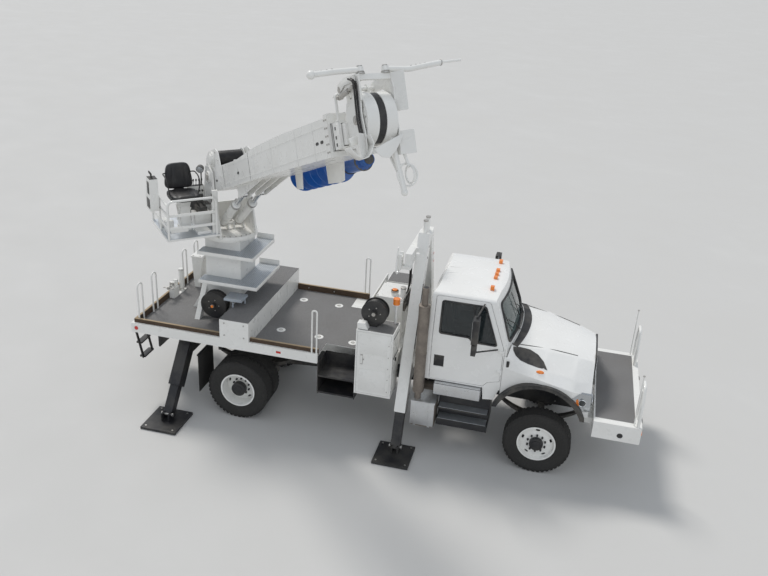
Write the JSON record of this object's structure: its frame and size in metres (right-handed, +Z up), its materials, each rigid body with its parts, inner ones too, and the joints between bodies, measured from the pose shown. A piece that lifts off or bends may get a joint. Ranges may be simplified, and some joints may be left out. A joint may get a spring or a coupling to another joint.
{
  "type": "digger derrick truck",
  "caption": "Utility truck with a rear turret carrying a telescopic derrick boom, stowed pole auger and pole guide, A-frame front outrigger, rear outriggers and a flat deck.",
  "frame": {"origin": "on the ground, below the middle of the front axle, on the truck's centre plane", "axes": "+X forward, +Y to the truck's left, +Z up; the boom is stored slewed 47.5 degrees to the right of forward and raised 22 degrees"},
  "size_m": [8.64, 6.2395, 6.5224],
  "materials": {
    "white_paint": "gloss white enamel",
    "black_paint": "satin black enamel",
    "blue_paint": "gloss blue enamel",
    "boom_inner_paint": "gloss white enamel, greased",
    "deck_grit": "non-skid grey coating",
    "wood": "rough sawn, weathered",
    "aluminium": "bare, perforated tread",
    "chrome": "polished",
    "steel": "galvanised and bare steel",
    "glass": "tinted",
    "tyre": "matte, dusty",
    "rim_paint": "gloss white enamel",
    "iron": "dark casting",
    "black_plastic": "grained",
    "interior": "grained grey",
    "lens": "clear moulded lens",
    "lamp": "red and amber lenses",
    "seat": "black vinyl"
  },
  "bodies": {
    "chassis": {"chassis_frame": "black_paint", "front_axle": "iron", "rear_axle": "iron", "powertrain": "iron", "fuel_tank": "aluminium", "steps": "black_paint", "exhaust": "steel", "cab_shell": "white_paint", "cab_glass": "glass", "cab_interior": "interior", "front_platform": "white_paint", "grab_rails": "white_paint", "deck": "deck_grit", "deck_boards": "wood", "pedestal": "white_paint", "pedestal_steps": "aluminium", "cabinet": "white_paint", "hydraulic_tank": "black_paint", "hose_reels": "black_paint", "front_outrigger": "white_paint", "rear_outrigger": "black_paint", "lamps": "lamp", "tail_tools": "steel"},
    "hood": {"hood": "white_paint", "grille": "black_plastic", "headlamps": "lens", "fender_flares": "black_plastic"},
    "door_right": {"door_right": "white_paint", "door_glass_right": "glass"},
    "door_left": {"door_left": "white_paint", "door_glass_left": "glass"},
    "cabinet_door": {"cabinet_door": "white_paint"},
    "knuckle_right": {"knuckle_right": "iron"},
    "knuckle_left": {"knuckle_left": "iron"},
    "wheel_front_right": {"tyres_front_right": "tyre", "rims_front_right": "rim_paint"},
    "wheel_front_left": {"tyres_front_left": "tyre", "rims_front_left": "rim_paint"},
    "wheel_rear_right": {"tyres_rear_right": "tyre", "rims_rear_right": "rim_paint"},
    "wheel_rear_left": {"tyres_rear_left": "tyre", "rims_rear_left": "rim_paint"},
    "front_leg_right": {"front_leg_right": "black_paint"},
    "front_leg_left": {"front_leg_left": "black_paint"},
    "rear_leg_right": {"rear_leg_right": "black_paint"},
    "rear_leg_left": {"rear_leg_left": "black_paint"},
    "turret": {"turret": "white_paint", "operator_platform": "white_paint", "operator_seat": "seat"},
    "lift_barrels": {"lift_barrels": "white_paint"},
    "lift_rods": {"lift_rods": "chrome"},
    "boom_outer": {"boom_outer": "white_paint"},
    "boom_middle": {"boom_middle": "boom_inner_paint"},
    "boom_tip": {"boom_tip": "boom_inner_paint"},
    "tip_sheave": {"tip_sheave": "iron"},
    "pole_guide": {"pole_guide": "white_paint"},
    "tong_right": {"tong_right": "black_paint"},
    "tong_left": {"tong_left": "black_paint"},
    "auger_drive": {"auger_drive": "blue_paint"},
    "auger": {"auger": "blue_paint"}
  },
  "joints": [
    {"name": "hood_tilt", "type": "hinge", "parent": "chassis", "child": "hood", "pos_m": [0.738, 0, 1.13], "axis": [0, 1, 0], "range_deg": [0, 45]},
    {"name": "door_right_swing", "type": "hinge", "parent": "chassis", "child": "door_right", "pos_m": [-0.696, -1.012, 1.6], "axis": [0, 0, 1], "range_deg": [0, 70]},
    {"name": "door_left_swing", "type": "hinge", "parent": "chassis", "child": "door_left", "pos_m": [-0.696, 1.012, 1.6], "axis": [0, 0, -1], "range_deg": [0, 70]},
    {"name": "cabinet_door_swing", "type": "hinge", "parent": "chassis", "child": "cabinet_door", "pos_m": [-2.4, -1.228, 1.45], "axis": [0, 0, 1], "range_deg": [0, 100]},
    {"name": "steer_right", "type": "hinge", "parent": "chassis", "child": "knuckle_right", "pos_m": [0, -0.82, 0.53], "axis": [0, 0, 1], "range_deg": [-35, 35]},
    {"name": "steer_left", "type": "hinge", "parent": "chassis", "child": "knuckle_left", "pos_m": [0, 0.82, 0.53], "axis": [0, 0, 1], "range_deg": [-35, 35]},
    {"name": "wheel_front_right_roll", "type": "hinge", "parent": "knuckle_right", "child": "wheel_front_right", "pos_m": [0, -1.028, 0.53], "axis": [0, 1, 0], "continuous": true},
    {"name": "wheel_front_left_roll", "type": "hinge", "parent": "knuckle_left", "child": "wheel_front_left", "pos_m": [0, 1.028, 0.53], "axis": [0, 1, 0], "continuous": true},
    {"name": "wheel_rear_right_roll", "type": "hinge", "parent": "chassis", "child": "wheel_rear_right", "pos_m": [-5, -0.914, 0.53], "axis": [0, 1, 0], "continuous": true},
    {"name": "wheel_rear_left_roll", "type": "hinge", "parent": "chassis", "child": "wheel_rear_left", "pos_m": [-5, 0.914, 0.53], "axis": [0, 1, 0], "continuous": true},
    {"name": "front_leg_right_lift", "type": "slide", "parent": "chassis", "child": "front_leg_right", "axis": [0, 0.3584, 0.9336], "range_m": [0, 0.44]},
    {"name": "front_leg_left_lift", "type": "slide", "parent": "chassis", "child": "front_leg_left", "axis": [0, -0.3584, 0.9336], "range_m": [0, 0.44]},
    {"name": "rear_leg_right_lift", "type": "slide", "parent": "chassis", "child": "rear_leg_right", "axis": [0, 0.6157, 0.788], "range_m": [0, 0.35]},
    {"name": "rear_leg_left_lift", "type": "slide", "parent": "chassis", "child": "rear_leg_left", "axis": [0, -0.6157, 0.788], "range_m": [0, 0.35]},
    {"name": "turret_slew", "type": "hinge", "parent": "chassis", "child": "turret", "pos_m": [-5.6, 0, 2.9], "axis": [0, 0, 1], "continuous": true},
    {"name": "boom_lift", "type": "hinge", "parent": "turret", "child": "boom_outer", "pos_m": [-5.64053, 0.04424, 3.87], "axis": [-0.7373, -0.6756, 0], "range_deg": [-26, 46]},
    {"name": "lift_barrel_pivot", "type": "hinge", "parent": "turret", "child": "lift_barrels", "pos_m": [-5.6, 0, 3.04], "axis": [-0.7373, -0.6756, 0], "range_deg": [-18, 31.5]},
    {"name": "lift_rod_slide", "type": "slide", "parent": "lift_barrels", "child": "lift_rods", "axis": [0.5354, -0.5842, 0.61], "range_m": [-0.29, 0.51]},
    {"name": "boom_middle_slide", "type": "slide", "parent": "boom_outer", "child": "boom_middle", "axis": [0.6264, -0.6836, 0.3746], "range_m": [0, 2.2]},
    {"name": "boom_tip_slide", "type": "slide", "parent": "boom_middle", "child": "boom_tip", "axis": [0.6264, -0.6836, 0.3746], "range_m": [0, 2.2]},
    {"name": "tip_sheave_spin", "type": "hinge", "parent": "boom_tip", "child": "tip_sheave", "pos_m": [-2.25679, -3.64847, 5.91517], "axis": [0.7373, 0.6756, 0], "continuous": true},
    {"name": "pole_guide_tilt", "type": "hinge", "parent": "boom_tip", "child": "pole_guide", "pos_m": [-2.4945, -3.38905, 6.17206], "axis": [-0.7373, -0.6756, 0], "range_deg": [0, 80]},
    {"name": "tong_right_swing", "type": "hinge", "parent": "pole_guide", "child": "tong_right", "pos_m": [-2.38238, -3.73345, 6.4239], "axis": [-0.2531, 0.2762, 0.9272], "range_deg": [0, 70]},
    {"name": "tong_left_swing", "type": "hinge", "parent": "pole_guide", "child": "tong_left", "pos_m": [-2.16119, -3.53077, 6.4239], "axis": [0.2531, -0.2762, -0.9272], "range_deg": [0, 70]},
    {"name": "auger_swing", "type": "hinge", "parent": "boom_outer", "child": "auger_drive", "pos_m": [-2.69121, -2.4047, 5.30746], "axis": [-0.7373, -0.6756, 0], "range_deg": [0, 68]},
    {"name": "auger_spin", "type": "hinge", "parent": "auger_drive", "child": "auger", "pos_m": [-3.30204, -1.73809, 4.71567], "axis": [0.6264, -0.6836, 0.3746], "continuous": true}
  ],
  "couplings": [
    {"joint": "steer_left", "follows": "steer_right", "ratio": 1},
    {"joint": "lift_barrel_pivot", "follows": "boom_lift", "ratio": 0.676},
    {"joint": "lift_rod_slide", "follows": "boom_lift", "m_per_rad": 0.62}
  ]
}
